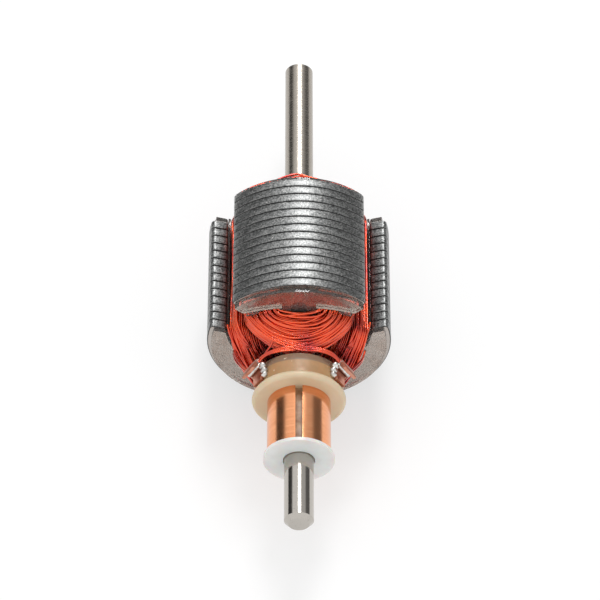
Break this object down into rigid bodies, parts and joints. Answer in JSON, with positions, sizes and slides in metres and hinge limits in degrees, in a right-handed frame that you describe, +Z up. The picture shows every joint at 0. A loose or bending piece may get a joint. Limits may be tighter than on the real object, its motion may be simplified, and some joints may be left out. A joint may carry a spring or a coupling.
{
  "type": "motor armature",
  "caption": "Armature of a small brushed DC motor: laminated pole core on a steel shaft, enamelled-wire coils, copper commutator with soldered hooks and nylon flange.",
  "frame": {"origin": "on the surface that the armature lies on, under the middle of its shaft", "axes": "+Y along the shaft towards the drive end, +Z up, +X to the right seen from the commutator end"},
  "size_m": [0.0126, 0.04, 0.0125],
  "materials": {
    "shaft_steel": "ground, polished at the commutator end",
    "core_steel": "blued electrical sheet, fine speckle",
    "clear_film": "clear, glossy",
    "enamelled_wire": "copper wire under clear orange-red enamel, gloss",
    "commutator_nylon": "cream nylon, satin",
    "commutator_copper": "turned copper, bright",
    "solder": "bright, lumpy",
    "washer_nylon": "white nylon, satin"
  },
  "bodies": {
    "root": {"shaft": "shaft_steel", "front_end_film": "clear_film", "rear_end_film": "clear_film", "commutator_body": "commutator_nylon", "retaining_washer": "washer_nylon", "lamination_01": "core_steel", "lamination_02": "core_steel", "lamination_03": "core_steel", "lamination_04": "core_steel", "lamination_05": "core_steel", "lamination_06": "core_steel", "lamination_07": "core_steel", "lamination_08": "core_steel", "lamination_09": "core_steel", "lamination_10": "core_steel", "lamination_11": "core_steel", "lamination_12": "core_steel", "lamination_13": "core_steel", "lamination_14": "core_steel", "slot_liner_1": "clear_film", "slot_liner_2": "clear_film", "slot_liner_3": "clear_film", "coil_1": "enamelled_wire", "coil_2": "enamelled_wire", "coil_3": "enamelled_wire", "segment_1": "commutator_copper", "segment_2": "commutator_copper", "segment_3": "commutator_copper", "solder_joint_1": "solder", "solder_joint_2": "solder", "solder_joint_3": "solder"}
  },
  "joints": []
}
